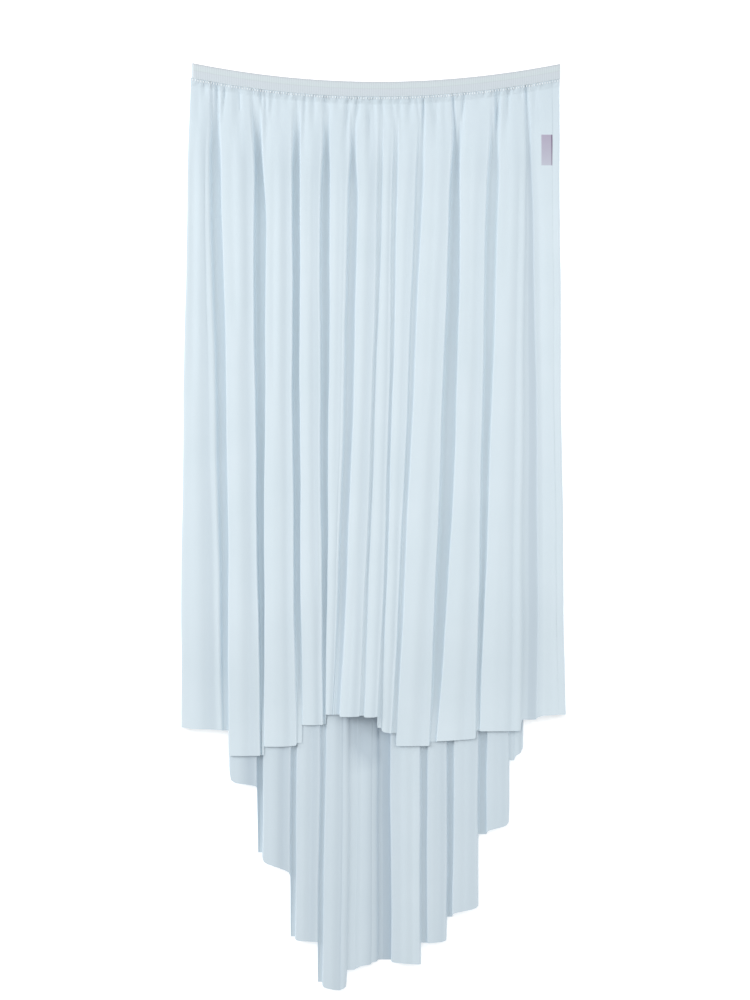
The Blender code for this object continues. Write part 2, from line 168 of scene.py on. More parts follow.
# One row for each fold: left edge at the top, middle and low stations, right
# edge at the same, hem at the left and right, height, and how much the hem
# rounds up at its left and right corners
frontCloth = {
    "stations": (301.0, 70.0, -148.5),
    "folds": np.array([
        (-150.0, -154.2, -156.0, -133.0, -126.5, -122.5, -163.0, -165.5, 7.0, 0.0, 0.0),
        (-124.0, -118.5, -117.5,  -97.5,  -94.8,  -91.8, -186.0, -186.0, 8.0, 1.0, 0.5),
        ( -86.0,  -88.0,  -88.5,  -65.0,  -65.0,  -62.5, -178.5, -178.5, 8.0, 0.5, 3.0),
        ( -59.5,  -59.5,  -58.0,  -42.5,  -42.5,  -40.5, -161.0, -161.0, 7.5, 0.5, 0.5),
        ( -35.0,  -36.5,  -38.5,  -20.5,  -24.5,  -32.5, -152.5, -152.5, 6.0, 0.0, 0.0),
        ( -12.5,  -17.5,  -27.0,    4.0,   -2.0,  -11.0, -154.0, -154.0, 7.0, 1.0, 1.0),
        (   8.5,    0.5,   -7.5,   15.0,   12.0,    4.0, -154.5, -154.5, 6.0, 1.0, 1.0),
        (  20.0,   14.5,    7.0,   34.5,   26.5,   16.0, -165.0, -168.5, 6.5, 2.0, 1.0),
        (  41.0,   30.5,   20.0,   63.0,   55.0,   46.5, -178.0, -178.0, 8.0, 1.5, 0.5),
        (  69.6,   66.0,   53.0,   92.0,   87.8,   83.6, -175.5, -171.5, 8.0, 1.0, 1.0),
        ( 102.0,   94.5,   86.5,  123.0,  120.5,  119.5, -166.0, -166.0, 7.5, 0.5, 0.5),
        ( 127.5,  132.0,  132.5,  151.2,  152.8,  156.0, -154.0, -152.6, 7.0, -2.6, 0.0),
    ]),
    # for the trough before each fold and after the last: where it opens below
    # the waist, over what length, how far its point leans to the right, how much
    # of the fold's height fills it, and how much painted shade darkens it
    "openFrom": np.array([0, 14, 10, 12, 16, 26, 6, 6, 10, 12, 12, 14, 0.0]),
    "openOver": np.array([60, 45, 120, 50, 55, 60, 60, 60, 60, 60, 65, 80, 60.0]),
    "apex": np.array([0, 0, -3.5, 0, 0, 0, 0, 0, 0, 1.0, 0, 0, 0]),
    "lift": np.array([0, 0.28, 0.12, 0.22, 0.24, 0.42, 0.8, 0.74, 0.74, 0.28, 0.45, 0.8, 0.6]),
    "troughShade": np.array([0, 0.4, 0.2, 0.1, 0.3, 0.6, 0.3, 0.4, 0.4, 0.35, 0.15, 0.4, 0]),
    # how much painted shade darkens each trough where it is a soft crease
    "softCreaseShade": np.array([0, 0, 0, 0, 0, 0, 0, 0, 0, 0, 0, 0.5, 0]),
    # for each fold: how much painted shade darkens its crown, most on the side away
    # from the main light, and how far it keeps clear of the back at its cut edge
    "paintedShadeWeight": np.array([1.0, 0.8, 0.7, 0.8, 0.6, 1.0, 0.8, 0.6, 0.5, 0.5, 0.6, 0.2]),
    "held": np.array([0, 0, 0, 0, 0.2, 0.8, 0.85, 0.4, 0, 0, 0, 0]),
    # whether each trough between two folds hangs as low as the longer of them
    "hang": np.array([0, 1, 1, 1, 0, 0, 1, 0, 0, 0, 0]),
    # how much wider than usual each fold's left and right walls slope
    "softLeft": np.array([0, 0, 0, 0, 0, 0.2, 0, 0, 0, 0, 0.4, 4.0]),
    "softRight": np.array([2.0, 0, 0, 0, 0.4, 0, 0, 0, 0, 0, 3.0, 0]),
    "wall": 0.4, "seed": 7,
}
backCloth = {
    "stations": (301.0, -150.0, -350.0),
    "folds": np.array([
        (-142.0, -143.5, -145.0, -124.0, -122.5, -122.5, -163.0, -163.0, 5.0, 0.0, 0.0),
        (-118.5, -117.5, -117.0,  -94.0,  -94.0,  -94.0, -205.5, -212.0, 6.0, 22.0, 0.0),
        ( -88.5,  -89.5,  -91.0,  -66.5,  -66.5,  -67.5, -267.0, -284.0, 6.0, 2.0, 0.0),
        ( -61.0,  -62.0,  -64.0,  -41.5,  -42.5,  -45.0, -335.0, -338.0, 6.0, 2.0, 1.0),
        ( -36.5,  -38.5,  -41.5,  -19.0,  -19.5,  -21.5, -371.5, -379.5, 6.0, 1.7, 6.0),
        ( -13.0,  -13.0,  -15.0,    3.5,    3.3,    2.6, -360.0, -353.5, 3.7, 0.0, 0.0),
        (  13.5,   13.5,   14.5,   36.0,   38.0,   38.5, -352.0, -357.0, 6.0, 0.0, 2.0),
        (  42.5,   43.5,   43.5,   60.5,   60.5,   59.5, -339.0, -336.5, 5.5, 1.0, 1.0),
        (  66.0,   65.5,   63.5,   86.5,   85.5,   85.0, -317.0, -308.0, 6.0, 0.0, 1.0),
        (  93.0,   92.0,   91.5,  110.0,  110.0,  110.0, -250.0, -241.0, 5.5, 0.0, 1.5),
        ( 114.0,  114.0,  113.0,  122.0,  122.0,  121.5, -190.0, -181.0, 4.0, 0.0, 2.0),
        ( 127.0,  127.5,  127.5,  140.0,  140.5,  142.5, -151.0, -152.0, 5.0, 0.0, 0.0),
    ]),
    "openFrom": np.full(13, 15.0),
    "openOver": np.full(13, 70.0),
    "apex": np.zeros(13),
    "lift": np.array([0, 0, 0.1, 0.4, 0.5, 0.95, 0, 0.45, 0.35, 0.25, 0.88, 0, 0]),
    "troughShade": np.array([0, 0.2, 0, 0, 0, 0, 0.7, 0.3, 0.1, 0, 0, 0, 0]),
    "softCreaseShade": np.array([0, 0, 0, 0, 0, 0, 0.4, 0, 0, 0, 0, 0, 0]),
    "paintedShadeWeight": np.array([0, 1.6, 1.2, 0.9, 0.8, 1.0, -0.3, 0.6, 0.3, 0.4, 0.6, 0]),
    "held": np.zeros(12),
    "softLeft": np.array([0, 0, 0, 0, 0, 2.0, 0, 0, 0, 0, 0, 0]),
    "softRight": np.array([0, 0, 0, 0, 2.5, 6.0, 0, 0, 0, 0, 0, 0]),
    "wall": 0.4, "seed": 11,
}

# A fold's section: what a place is measured from (0 trough, 1 left foot, 2 left
# edge, 3 share of the width, 4 right edge, 5 right foot), the step from it, the
# share of the fold's height and how much painted shade darkens the net there,
# most on the crown's side away from the main light
foldSection = np.array([
    (0, 0.0, 0.0, 0.0), (1, -0.9, 0.0, 0.0), (1, -0.1, 0.1, 0.0),
    (2, 0.1, 0.68, 0.15), (2, 0.6, 0.94, 0.1), (2, 1.6, 0.985, 0.0),
    (3, 0.26, 1.01, 0.0), (3, 0.5, 1.03, 0.15), (3, 0.73, 0.95, 0.45),
    (4, -1.8, 0.9, 0.3), (4, -0.6, 0.905, 0.05), (4, 0.0, 0.62, 0.1),
    (5, 0.5, 0.12, 0.0), (5, 1.6, 0.0, 0.0),
])
# the share of a trough's painted shade at each place, for plain troughs and soft creases
troughShadePlaces = np.array([0.6, 1.0, 1.0, 0.3, 0, 0, 0, 0, 0, 0, 0, 0, 0.1, 0.1])
creaseShadePlaces = np.array([1.0, 0.85, 0.7, 0.5, 0.35, 0.2, 0, 0, 0, 0.1, 0.2, 0.4, 0.7, 0.85])
# near the waist the same places lie at these shares of the way between troughs
gatheredPlaces = np.array([0.0, 0.05, 0.1, 0.14, 0.18, 0.24, 0.36, 0.52, 0.67, 0.79, 0.85, 0.9, 0.94, 0.97])
sectionSize = len(foldSection)
crownColumn = 6
leftFoot = 2
rightFoot = 12
fullSection = 10.0              # a narrower fold has its edge steps squeezed
footReach = (0.6, 0.5)          # most of a trough's half that a left or right foot takes
edgeReach = (0.2, 0.24)         # most of a fold's width that a left or right edge takes
hemCorner = 0.45                # share of a fold's width that a rounded hem corner takes
openAtWaist = 0.12              # how far a trough is open where it starts
wander = {"far": 0.3, "farLength": 170.0, "near": 0.08, "nearLength": 61.0}


def edgeAt(cloth, fold, y, side, trim):
    # left or right edge of each fold: the parabola through its three stations, with
    # two shallow sine waves added down its length
    values = [cloth["folds"][fold, side + k] for k in range(3)]
    phase = 2.1 * np.asarray(fold) + side
    stray = wander["far"] * np.sin(2 * np.pi * y / wander["farLength"] + phase)
    stray = stray + wander["near"] * np.sin(2 * np.pi * y / wander["nearLength"] + 1.7 * phase)
    return throughStations(values, cloth["stations"], y) + stray + (trim if side == 0 else -trim)


def leftEdge(y):
    # the skirt's outline on the left: the outer edge of the front's first fold
    return edgeAt(frontCloth, np.zeros(np.shape(y), int), y, 0, 0.0)


def rightEdge(y):
    # and on the right: the outer edge of its last
    return edgeAt(frontCloth, np.full(np.shape(y), lastFold), y, 3, 0.0)


def growth(depth):
    # the share of its height that a fold has: 0 at the waist, 1 once it is full
    return ease(depth / gathers["growth"])


def gatherHeight(depth):
    # what the small gathers add: all of it at the waist, then less until they end
    return gathers["height"] * (1.0 - ease(depth / gathers["length"]))


def frontFloor(depth):
    # outer face of the front's troughs, above the back's tallest folds
    folds = layers["backFold"] * layers["swell"] * growth(depth)
    return folds + gatherHeight(depth) + 2 * layers["cadWall"] + waist["seamGap"]


def crown(fold, depth):
    # the front's floor plus as much of the fold's height as it has there
    return frontFloor(depth) + frontCloth["folds"][fold, 8] * growth(depth)


def sideRoll(edge, inwards, top, step):
    # half an ellipse round a side edge, from the table up to the crown
    angle = np.pi * (step / layers["rollSteps"] - 0.5)
    reach = np.minimum(layers["turn"], top / 2)
    return edge + inwards * reach * (1.0 - np.cos(angle)), top / 2 * (1.0 + np.sin(angle))


# Controls of a panel's section: kind (0 fold, 1 roll, 2 seam, 3 start), fold
# and place in the section

def frontControls():
    # round the left edge, over every crown and down to the side seam on the right
    rows = [(1, 0, step) for step in range(layers["rollSteps"] + 1)]
    rows += [(0, 0, c) for c in range(crownColumn, sectionSize)]
    rows += [(0, fold, c) for fold in range(1, lastFold) for c in range(sectionSize)]
    rows += [(0, lastFold, c) for c in range(crownColumn + 2)]
    rows.append((2, lastFold, crownColumn + 3))
    return np.array(rows)


def backControls():
    # from the seam under the left edge, over every fold and round the right edge
    rows = [(3, 0, 0)]
    rows += [(0, 0, c) for c in range(1, sectionSize)]
    rows += [(0, fold, c) for fold in range(1, lastFold + 1) for c in range(sectionSize)]
    rows += [(1, lastFold, step) for step in range(layers["rollSteps"] + 1)]
    rows.append((2, lastFold, sectionSize - 1))
    return np.array(rows)


def sectionPoint(cloth, controls, k, y, isFront):
    # x and z of control k at height y, for arrays of both: a foot, an edge or a share
    # of the fold's width, blended near the waist with places spread evenly
    k = np.broadcast_to(k, y.shape)
    kind, fold, column = (controls[k, i] for i in range(3))
    trim = 0.0 if isFront else cloth["wall"]
    left = edgeAt(cloth, fold, y, 0, trim)
    right = edgeAt(cloth, fold, y, 3, trim)
    depth = np.maximum(0.0, clothTop(left + (right - left) * column / sectionSize) - y)
    topLeft = crown(0, depth)
    topRight = crown(lastFold, depth)
    seam = rightEdge(y) - layers["seamInset"]
    start = leftEdge(y) + np.minimum(layers["roll"], topLeft / 2) + waist["seamGap"]
    first = leftEdge(y) if isFront else start
    last = seam if isFront else rightEdge(y) - layers["roll"]
    rightBefore = edgeAt(cloth, np.maximum(fold - 1, 0), y, 3, trim)
    leftAfter = edgeAt(cloth, np.minimum(fold + 1, lastFold), y, 0, trim)
    leaning = 1.0 - ease(depth / gathers["leanOver"])
    before = np.where(fold > 0, (rightBefore + left) / 2, first) + cloth["apex"][fold] * leaning
    after = np.where(fold < lastFold, (right + leftAfter) / 2, last) + cloth["apex"][fold + 1] * leaning
    left = np.where(fold > 0, before + (left - before) * openness(cloth, fold, depth), left)
    right = np.where(fold < lastFold, after + (right - after) * openness(cloth, fold + 1, depth), right)
    squeeze = np.minimum(1.0, (right - left) / fullSection)
    softLeft, softRight = (1.0 + cloth[side][fold] for side in ("softLeft", "softRight"))
    code, step, share = foldSection[column, 0], foldSection[column, 1], foldSection[column, 2]
    own = np.select(
        [code == 0, code == 1, code == 2, code == 3, code == 4],
        [before, left + step * np.minimum(softLeft, footReach[0] * (left - before)),
         left + np.minimum(step * softLeft, edgeReach[0] * (right - left)) * squeeze,
         left + (right - left) * step,
         right + np.maximum(step * softRight, -edgeReach[1] * (right - left)) * squeeze],
        right + step * np.minimum(softRight, footReach[1] * (after - right)))
    even = before + (after - before) * gatheredPlaces[column]
    x = even + (own - even) * ease(depth / gathers["opening"])
    base = frontFloor(depth) if isFront else 0.0
    filled = np.where(column < crownColumn, troughHeight(cloth, fold), troughHeight(cloth, fold + 1))
    z = base + (cloth["folds"][fold, 8] * share + filled * (1.0 - np.minimum(share, 1.0))) * growth(depth)
    rolled = (leftEdge(y), 1.0, topLeft) if isFront else (rightEdge(y), -1.0, topRight)
    rollX, rollZ = sideRoll(*rolled, column)
    gap = waist["clothTuck"] / 2
    # the side seam lies in a groove, shallower below the label
    seamTop = topRight - layers["seamGroove"] * (0.3 + 0.7 * ease((y - layers["seamGrooveTo"]) / 12.0))
    seamSide = seam - gap if isFront else seam + gap
    x = np.select([kind == 0, kind == 1, kind == 2], [x, rollX, seamSide], start)
    z = np.select([kind == 0, kind == 1, kind == 2], [z, rollZ, seamTop], 0.0)
    return x, z


def troughHeight(cloth, trough):
    # a share of the lower fold beside it
    tall = cloth["folds"][:, 8]
    lower = np.minimum(tall[np.maximum(trough - 1, 0)], tall[np.minimum(trough, lastFold)])
    return cloth["lift"][trough] * lower


def openness(cloth, trough, depth):
    # the troughs open from a point below the waist
    opened = ease((depth - cloth["openFrom"][trough]) / cloth["openOver"][trough])
    return openAtWaist + (1.0 - openAtWaist) * opened


def hemLine(cloth, controls, isFront):
    # height of the cut edge at each control, with rounded corners; the front's
    # troughs end level with the shorter fold beside them or, where they hang, the
    # longer, the back's with the next
    kind, fold, column = (controls[:, i] for i in range(3))
    table = cloth["folds"]
    part = np.clip((column - leftFoot) / (rightFoot - 1 - leftFoot), 0.0, 1.0)
    hem = table[fold, 6] + (table[fold, 7] - table[fold, 6]) * part
    hem = hem + table[fold, 9] * np.clip(1 - part / hemCorner, 0, 1) ** 2
    hem = hem + table[fold, 10] * np.clip(1 - (1 - part) / hemCorner, 0, 1) ** 2
    starts = (table[:, 6] + table[:, 9])[1:]
    ends = (table[:, 7] + table[:, 10])[:-1]
    troughs = starts.copy()
    if isFront:
        short = np.maximum(ends, starts)
        troughs = short + (np.minimum(ends, starts) - short) * cloth["hang"]
    troughs[0] = max(ends[0], starts[0])
    hem = np.where((column >= rightFoot) & (fold < lastFold), troughs[np.minimum(fold, lastFold - 1)], hem)
    hem = np.where((column <= leftFoot) & (fold > 0), troughs[np.maximum(fold - 1, 0)], hem)
    seamHem = frontCloth["folds"][lastFold, 7]
    hem = np.where(kind == 1, table[0, 6] if isFront else seamHem, hem)
    return np.where(kind == 2, seamHem, np.where(kind == 3, table[0, 6], hem))


# Rows and columns of a panel's grid: columns from one control to the next, rows
# in all and near the waist, how far down those near rows reach and how they crowd
clothMesh = {"perControl": 3, "rows": 78, "waistRows": 30, "waistDepth": 80.0, "crowding": 1.15,
             "aboveGathers": 355.0}


def rowPlaces():
    # depths for the rows near the waist, then shares of what is left to the hem
    near = clothMesh["waistDepth"] * np.linspace(0, 1, clothMesh["waistRows"]) ** clothMesh["crowding"]
    far = np.linspace(0, 1, clothMesh["rows"] - clothMesh["waistRows"] + 1)[1:]
    return near, far


def clothGrid(cloth, controls, isFront):
    # points of the sheet: columns along the section's spline, rows from the waist
    # to the cut edge, with the gathers' grooves and the drape near the hem
    s = np.linspace(0, len(controls) - 1, (len(controls) - 1) * clothMesh["perControl"] + 1)
    base = np.minimum(s.astype(int), len(controls) - 2)
    t = s - base
    hemControls = hemLine(cloth, controls, isFront)
    hem = hemControls[base] + (hemControls[base + 1] - hemControls[base]) * ease(t)
    atWaist = np.full((1, len(s)), clothMesh["aboveGathers"])
    topX, _ = blendSection(cloth, controls, base, t, atWaist, isFront)
    top = clothTop(topX[0])
    near, far = rowPlaces()
    below = top - clothMesh["waistDepth"]
    y = np.concatenate([top[None, :] - near[:, None],
                        below[None, :] + far[:, None] * (hem - below)[None, :]])
    x, z = blendSection(cloth, controls, base, t, y, isFront)
    depth = np.maximum(0.0, clothTop(x) - y)
    inFold = (controls[base, 0] == 0) & (controls[base + 1, 0] == 0)
    groove = gatherGrooves(x, depth, cloth["seed"]) * inFold
    z = z - groove if isFront else z + groove
    # near the cut edge the front, and the roll that the back brings round to it, sink
    onSide = np.isin(controls[:, 0], (1, 2)).astype(float)
    fold, column = controls[:, 1], controls[:, 2]
    held = cloth["held"][fold]
    sidestep = np.where(column <= leftFoot, -1, np.where(column >= rightFoot, 1, 0))
    beside = np.clip(fold + sidestep, 0, lastFold)
    sinking = (1.0 - (held + cloth["held"][beside]) / 2) * (1.0 if isFront else onSide)
    sinks = sinking[base] * (1 - t) + sinking[base + 1] * t
    z = z * (1.0 - sinks * drape["share"] * ease(1.0 - (y - hem[None, :]) / drape["reach"]))
    return x, y, z, depth, inFold, paintedClothShade(cloth, controls, base, t, depth, isFront)


def paintedClothShade(cloth, controls, base, t, depth, isFront):
    # painted shade: 0 where none is painted, 1 at the darkest, in troughs, on the crowns' sides away from
    # the light and inside the back; near the gathers partly the denser net
    kind, fold, column = (controls[:, i] for i in range(3))
    place = np.minimum(column, sectionSize - 1)
    trough = np.where(column < crownColumn, fold, fold + 1)
    tone = (foldSection[place, 3] * cloth["paintedShadeWeight"][fold] + troughShadePlaces[place] * cloth["troughShade"][trough]
            + creaseShadePlaces[place] * cloth["softCreaseShade"][trough])
    # painted shade: the back's net is darker all over
    inside = 0.0 if isFront else meshLook["paintedBackShade"]
    tone, below = (np.where(kind == 0, tone, 0.0), np.where(kind == 0, inside, 0.0))
    tone, below = (v[base] * (1 - t) + v[base + 1] * t for v in (tone, below))
    # darker near the waist: partly the denser gathered net, partly painted shade of its creases
    gathered = meshLook["gatheredDensityAndShade"] * (1.0 - ease(depth / meshLook["gatheredTo"]))
    paintedShadeWeight = ease((depth - meshLook["shadeFrom"]) / meshLook["shadeOver"])
    return tone[None, :] * paintedShadeWeight + below[None, :] + gathered


def blendSection(cloth, controls, base, t, y, isFront):
    # the four controls round each column, joined by the spline
    last = len(controls) - 1
    near = [sectionPoint(cloth, controls, np.clip(base + k, 0, last), y, isFront) for k in (-1, 0, 1, 2)]
    return tuple(splineBetween(*(point[i] for point in near), t) for i in range(2))


def gatherGrooves(x, depth, seed):
    # narrow grooves straight down from the elastic, each with its own depth,
    # width, length and lean: deep exp(-(away/wide)^2), fading over its length
    random = np.random.default_rng(seed)
    places = np.arange(gathers["from"], gathers["to"], gathers["pitch"])
    held = 0.15 + 0.85 * ease(depth / gathers["heldDepth"])
    total = 0.0 * x
    for place in places + random.uniform(-1, 1, len(places)) * gathers["stray"]:
        deep, wide, long = (random.uniform(*gathers[key]) for key in ("deep", "wide", "long"))
        lean = random.uniform(-1, 1) * gathers["lean"]
        away = (x - place - lean * depth / long) / (wide * (1.0 + depth / long))
        total = total + deep * np.exp(-away ** 2) * (1.0 - ease(depth / long))
    return total * held


# The raster on which the front reads how high the back lies below it
raster = {"fromX": -160.0, "toX": 160.0, "stepX": 0.5, "fromY": -200.0, "toY": 380.0, "stepY": 4.0,
          "reach": 2, "empty": -50.0}


def heightMap(x, y, z):
    # the sheet's height on the raster, each cell the highest of those nearby
    across = np.arange(raster["fromX"], raster["toX"], raster["stepX"])
    down = np.arange(raster["fromY"], raster["toY"], raster["stepY"])
    empty, reach = raster["empty"], raster["reach"]
    rows = []
    columns = [np.interp(down, y[::-1, j], x[::-1, j]) for j in range(x.shape[1])]
    heights = [np.interp(down, y[::-1, j], z[::-1, j], left=empty) for j in range(x.shape[1])]
    for place, tall in zip(np.array(columns).T, np.array(heights).T):
        rows.append(np.interp(across, np.maximum.accumulate(place), tall, left=empty, right=empty))
    field = np.array(rows)
    return across, down, np.max([np.roll(field, k, 1) for k in range(-reach, reach + 1)], 0)


def sampleMap(field, x, y):
    # the higher of the two cells beside x, blended between the rows above and below y
    across, down, tall = field
    c = np.clip(((x - across[0]) / raster["stepX"]).astype(int), 0, len(across) - 2)
    part = np.clip((y - down[0]) / raster["stepY"], 0, len(down) - 1.001)
    r = part.astype(int)
    part = part - r
    lower = np.maximum(tall[r, c], tall[r, c + 1])
    upper = np.maximum(tall[r + 1, c], tall[r + 1, c + 1])
    return lower * (1 - part) + upper * part


creaseFade = 60.0               # over which a crease comes and goes at its ends


def addCreases(cloth, x, y, z, creases):
    # soft grooves along a fold: depth times a bell across it and a window along it
    for fold, place, top, low, deep, wide in creases:
        left = edgeAt(cloth, int(fold), y, 0, 0.0)
        right = edgeAt(cloth, int(fold), y, 3, 0.0)
        centre = left + (right - left) * place
        window = ease((top - y) / creaseFade) * ease((y - low) / creaseFade + 1.0)
        z = z - deep * np.exp(-((x - centre) / wide) ** 2) * window
    return z


def clothUv(x, z, depth):
    # across: length along the section at mid height; along: depth below the waist
    middle = len(x) // 2
    run = np.hypot(np.diff(x[middle]), np.diff(z[middle]))
    u = np.concatenate([[0.0], np.cumsum(run)])
    return np.stack([np.broadcast_to(u, x.shape), depth], -1)


# Painted shadow on the back where it hangs slack and hollow just below the middle of the front's hem
hollowShadow = {"at": -5.5, "wide": 14.0, "top": -168.0, "low": -202.0, "tone": 1.2}

# Creases, given one by one: fold, place across it, top and low end, depth, width
frontCreases = (
    (0, 0.30, 330, 150, 0.84, 3.6), (0, 0.66, 250, -165, 0.70, 4.0), (0, 0.86, 60, -165, 0.56, 3.0),
    (1, 0.36, 340, 190, 0.70, 2.8), (1, 0.62, 200, -186, 0.77, 3.6), (1, 0.80, 330, -60, 0.63, 2.6),
    (2, 0.30, 330, 150, 0.63, 2.4), (2, 0.74, 300, -178, 0.77, 3.2), (2, 0.50, 100, -178, 0.35, 2.4),
    (3, 0.62, 320, -20, 0.63, 2.2), (3, 0.78, -40, -161, 0.49, 2.0), (3, 0.40, 330, 220, 0.42, 1.8),
    (4, 0.55, 320, 60, 0.49, 2.0), (5, 0.62, 300, -40, 0.56, 2.6), (5, 0.40, 0, -154, 0.35, 2.0),
    (7, 0.60, 300, 0, 0.42, 2.0), (7, 0.75, 40, -165, 0.42, 2.0),
    (8, 0.45, 340, 120, 0.63, 2.8), (8, 0.72, 240, -178, 0.63, 3.2), (8, 0.58, -20, -178, 0.42, 2.4),
    (9, 0.40, 330, 160, 0.49, 2.6), (9, 0.66, 300, -176, 0.70, 3.2), (9, 0.82, 60, -60, 0.42, 2.0),
    (10, 0.38, 330, 230, 0.56, 3.0), (10, 0.78, 300, -160, 0.77, 3.4), (10, 0.50, 30, -166, 0.49, 3.0),
    (11, 0.24, 280, 0, 0.56, 3.2), (11, 0.50, 150, -150, 0.56, 3.6),
)
backCreases = (
    (1, 0.60, -140, -212, 0.42, 3.0), (2, 0.68, -120, -284, 0.63, 3.0), (3, 0.56, -120, -338, 0.63, 2.6),
    (4, 0.62, -120, -370, 0.63, 2.8), (5, 0.45, -100, -145, 2.80, 10.0), (6, 0.35, -120, -357, 0.49, 2.4),
    (6, 0.72, -160, -357, 0.49, 2.4), (7, 0.50, -120, -339, 0.42, 2.4), (8, 0.45, -120, -317, 0.56, 2.8),
    (9, 0.50, -120, -250, 0.42, 2.4),
)


def paintedHollowShadow(x, y):
    # painted shadow: a bell across the hollow, fading down its length
    away = (x - hollowShadow["at"]) / hollowShadow["wide"]
    return hollowShadow["tone"] * np.exp(-away ** 2) * ease((y - hollowShadow["low"]) / (hollowShadow["top"] - hollowShadow["low"]))


def buildCloth(name, cloth, controls, isFront, creases, under=None):
    # the front rests on what lies under it, the back on the table
    x, y, z, depth, inFold, tone = clothGrid(cloth, controls, isFront)
    z = addCreases(cloth, x, y, z, creases)
    if isFront:
        resting = sampleMap(under, x, y) + backCloth["wall"] + cloth["wall"] + drape["clear"]
        z = np.where(inFold[None, :], np.maximum(z, resting), z)
    else:
        z = np.maximum(z, 0.0)
        # painted shadow under the middle of the front's hem
        tone = tone + paintedHollowShadow(x, y)
    item = gridMesh(name, np.stack([x, y, z], -1), clothUv(x, z, depth), tone=tone)
    thicken(item, cloth["wall"], -1.0 if isFront else 1.0)
    return item, heightMap(x[:, inFold], y[:, inFold], z[:, inFold])


backPiece, backHeights = buildCloth("backMesh", backCloth, backControls(), False, backCreases)
frontPiece, _ = buildCloth("frontMesh", frontCloth, frontControls(), True, frontCreases, backHeights)
print("panels gathered:", len(frontPiece.data.polygons), len(backPiece.data.polygons))


# Waist elastic: a flattened loop with fine upright ribs in two lanes

elastic = {
    "wall": 1.4, "ribPitch": 1.8, "ribHeight": 0.07, "pointsPerRib": 4,
    "grooveAt": 5.6, "grooveWidth": 0.9, "grooveDepth": 0.12, "edgeRound": 0.3,
}


def loopPath(top, spacing):
    # a stadium seen along Y, by its run from the right end of the upper layer
    radius = top / 2
    left, right = waist["left"] + radius, waist["right"] - radius
    straight = right - left
    total = 2 * straight + 2 * np.pi * radius
    count = int(round(total / spacing))
    run = np.arange(count) * total / count
    turnOne = (run - straight) / radius
    backRun = run - straight - np.pi * radius
    turnTwo = (backRun - straight) / radius
    zones = [run < straight, turnOne < np.pi, backRun < straight]
    angle = np.select(zones, [np.pi / 2 + 0 * run, np.pi / 2 + turnOne, 1.5 * np.pi + 0 * run],
                      1.5 * np.pi + turnTwo)
    x = np.select(zones, [right - run, left + radius * np.cos(angle), left + backRun],
                  right + radius * np.cos(angle))
    z = radius + radius * np.sin(angle)
    return x, z, np.cos(angle), np.sin(angle), run


def buildElastic():
    # a lathed strip: the profile of both faces carried round the loop, ribs across it
    top = frontFloor(0.0) + gathers["height"] / 3
    x, z, nx, nz, run = loopPath(top, elastic["ribPitch"] / elastic["pointsPerRib"])
    half = elastic["grooveWidth"] / 2
    tall, wall = waist["elasticHeight"], elastic["wall"]
    # down the outer face: edge, upper lane, groove, lower lane, edge; then the inner face
    drop = np.array([0.0, 0.25, 0.8, 2.5, 4.2, elastic["grooveAt"] - half, elastic["grooveAt"],
                     elastic["grooveAt"] + half, 7.2, 9.0, 11.2, 11.75, tall, tall, 0.0])
    inset = np.array([elastic["edgeRound"], 0.12, 0.0, 0.0, 0.0, 0.05, elastic["grooveDepth"],
                      0.05, 0.0, 0.0, 0.0, 0.12, elastic["edgeRound"], wall, wall])
    ribbed = np.array([0.3, 0.8, 1, 1, 1, 0.8, 0.2, 0.8, 1, 1, 1, 0.8, 0.3, 0, 0])
    rib = elastic["ribHeight"] * (0.5 - 0.5 * np.cos(2 * np.pi * run / elastic["ribPitch"]))
    deep = inset[:, None] + (elastic["ribHeight"] - rib)[None, :] * ribbed[:, None]
    points = np.stack([x - nx * deep, waistLine(x)[None, :] - drop[:, None] + 0 * deep, z - nz * deep], -1)
    points = np.concatenate([points, points[:1]])
    uv = np.stack([np.broadcast_to(run, deep.shape), drop[:, None] + 0 * deep], -1)
    uv = np.concatenate([uv, uv[:1]])
    item = gridMesh("waistElastic", points, uv, closedAcross=True)
    mergeDoubles(item)
    return item


elasticPiece = buildElastic()
print("elastic woven:", len(elasticPiece.data.polygons))


# Stitching: one row of white thread beads just under the elastic

stitch = {
    "pitch": 2.1, "drop": 13.3, "across": 0.42, "along": 0.85, "tall": 0.3,
    "sides": 8, "rings": 4, "strayAcross": 0.18, "strayAlong": 0.2, "seed": 3,
}


def buildStitches():
    # one squashed ball, repeated along the waist line with a slight stray
    sides, rings = stitch["sides"], stitch["rings"]
    around = np.linspace(0, 2 * np.pi, sides, endpoint=False)
    rise = np.linspace(0, np.pi, rings + 1)
    ball = [(np.sin(a) * np.cos(b), np.sin(a) * np.sin(b), np.cos(a)) for a in rise for b in around]
    ball = np.array(ball) * (stitch["across"], stitch["along"], stitch["tall"])
    ringQuads = [(c, sides + c, sides + (c + 1) % sides, (c + 1) % sides) for c in range(sides)]
    quads = [tuple(r * sides + v for v in quad) for r in range(rings) for quad in ringQuads]
    random = np.random.default_rng(stitch["seed"])
    points, faces = [], []
    level = frontFloor(0.0) + 0.05
    for x in np.arange(waist["left"] + 1.2, waist["right"] - 1.0, stitch["pitch"]):
        stray = random.uniform(-1, 1, 2) * (stitch["strayAcross"], stitch["strayAlong"])
        place = np.array((x + stray[0], waistLine(x) - stitch["drop"] + stray[1], level))
        faces += [tuple(v + len(points) for v in quad) for quad in quads]
        points += list((ball + place) * toMetres)
    mesh = bpy.data.meshes.new("waistStitches")
    mesh.from_pydata([tuple(p) for p in points], [], faces)
    mesh.shade_smooth()
    item = bpy.data.objects.new("waistStitches", mesh)
    bpy.context.scene.collection.objects.link(item)
    mergeDoubles(item)
    return item


stitchPiece = buildStitches()
print("waist stitched:", len(stitchPiece.data.polygons))


# Care label: a bare ribbon, just under the front's last crown

label = {"width": 9.0, "top": 317.0, "length": 25.0, "wall": 0.4, "under": 1.0, "curl": 0.25}


